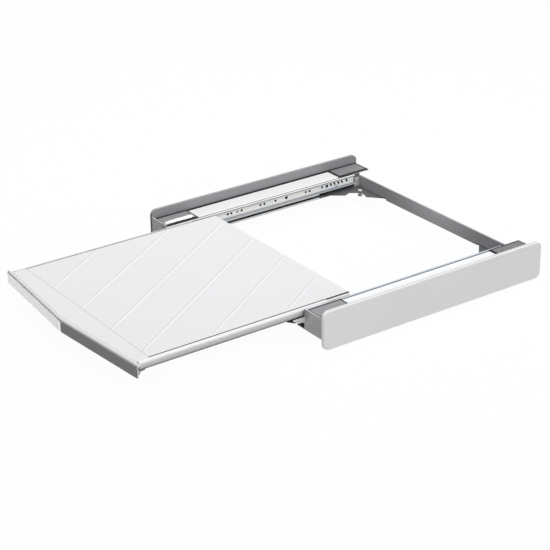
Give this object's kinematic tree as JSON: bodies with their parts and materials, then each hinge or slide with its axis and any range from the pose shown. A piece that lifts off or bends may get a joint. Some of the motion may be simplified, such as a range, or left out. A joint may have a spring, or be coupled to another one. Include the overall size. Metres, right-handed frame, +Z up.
{
  "type": "washer dryer stacking kit",
  "caption": "Low open frame that joins a tumble dryer on top of a washing machine, with tall side plates, padded ledges, a rear cross bar and a white shelf that slides out on rollers.",
  "frame": {"origin": "middle of the whole footprint with the shelf pulled out, level with the lower edges of the side plates", "axes": "+Z up, -Y the way the shelf pulls out, +X to the right as seen from the front"},
  "size_m": [0.618, 0.9376, 0.08],
  "materials": {
    "grey_enamel": "smooth grey enamel on steel",
    "light_enamel": "light grey, softly glossy",
    "white_enamel": "white enamel on steel",
    "bar_enamel": "grey enamel on steel",
    "grey_plastic": "matt grey plastic",
    "pad_rubber": "grey rubber, smooth on top",
    "base_rubber": "black foam rubber",
    "black_plastic": "black plastic",
    "seal_rubber": "black soft rubber",
    "bright_steel": "bright plated steel",
    "zinc_plate": "zinc plated steel, slightly blue",
    "nylon": "natural white nylon",
    "white_panel": "white coated panel with raised lines",
    "white_gloss": "glossy white plastic"
  },
  "bodies": {
    "frame": {"left_side_plate": "grey_enamel", "left_side_cover": "light_enamel", "left_rail_channel": "white_enamel", "left_front_end_cap": "grey_plastic", "right_side_plate": "grey_enamel", "right_side_cover": "light_enamel", "right_rail_channel": "white_enamel", "right_front_end_cap": "grey_plastic", "front_left_top_pad": "pad_rubber", "rear_left_top_pad": "pad_rubber", "front_left_base_pad": "base_rubber", "rear_left_base_pad": "base_rubber", "front_right_top_pad": "pad_rubber", "rear_right_top_pad": "pad_rubber", "front_right_base_pad": "base_rubber", "rear_right_base_pad": "base_rubber", "rear_cross_bar": "bar_enamel", "left_corner_bracket": "bar_enamel", "left_runner": "zinc_plate", "left_front_stop": "black_plastic", "left_rear_bumper": "black_plastic", "left_runner_rivets": "bright_steel", "left_bar_screws": "bright_steel", "left_bracket_screws": "bright_steel", "left_cover_screws": "bright_steel", "right_corner_bracket": "bar_enamel", "right_runner": "zinc_plate", "right_front_stop": "black_plastic", "right_rear_bumper": "black_plastic", "right_runner_rivets": "bright_steel", "right_bar_screws": "bright_steel", "right_bracket_screws": "bright_steel", "right_cover_screws": "bright_steel"},
    "shelf": {"shelf_base": "white_enamel", "shelf_panel": "white_panel", "front_strip": "white_panel", "front_fascia": "white_gloss", "front_stiffener": "zinc_plate", "middle_stiffener": "zinc_plate", "rear_stiffener": "zinc_plate", "left_side_trim": "white_gloss", "left_edge_seal": "seal_rubber", "left_fascia_bracket": "grey_plastic", "left_roller_bracket": "zinc_plate", "left_guide_block": "black_plastic", "left_roller_pins": "bright_steel", "left_shelf_screws": "bright_steel", "right_side_trim": "white_gloss", "right_edge_seal": "seal_rubber", "right_fascia_bracket": "grey_plastic", "right_roller_bracket": "zinc_plate", "right_guide_block": "black_plastic", "right_roller_pins": "bright_steel", "right_shelf_screws": "bright_steel"},
    "front_left_roller": {"front_left_roller": "nylon"},
    "front_right_roller": {"front_right_roller": "nylon"},
    "rear_left_roller": {"rear_left_roller": "nylon"},
    "rear_right_roller": {"rear_right_roller": "nylon"}
  },
  "joints": [
    {"name": "shelf_slide", "type": "slide", "parent": "frame", "child": "shelf", "axis": [0, 1, 0], "range_m": [0, 0.337]},
    {"name": "front_left_roller_spin", "type": "hinge", "parent": "shelf", "child": "front_left_roller", "pos_m": [-0.2462, -0.06225, 0.0477], "axis": [1, 0, 0], "range_deg": [-2300, 0]},
    {"name": "front_right_roller_spin", "type": "hinge", "parent": "shelf", "child": "front_right_roller", "pos_m": [0.2462, -0.06225, 0.0477], "axis": [1, 0, 0], "range_deg": [-2300, 0]},
    {"name": "rear_left_roller_spin", "type": "hinge", "parent": "shelf", "child": "rear_left_roller", "pos_m": [-0.2462, 0.02575, 0.0501], "axis": [1, 0, 0], "range_deg": [0, 2300]},
    {"name": "rear_right_roller_spin", "type": "hinge", "parent": "shelf", "child": "rear_right_roller", "pos_m": [0.2462, 0.02575, 0.0501], "axis": [1, 0, 0], "range_deg": [0, 2300]}
  ],
  "couplings": [
    {"joint": "front_left_roller_spin", "follows": "shelf_slide", "rad_per_m": -117.65},
    {"joint": "front_right_roller_spin", "follows": "shelf_slide", "rad_per_m": -117.65},
    {"joint": "rear_left_roller_spin", "follows": "shelf_slide", "rad_per_m": 117.65},
    {"joint": "rear_right_roller_spin", "follows": "shelf_slide", "rad_per_m": 117.65}
  ]
}
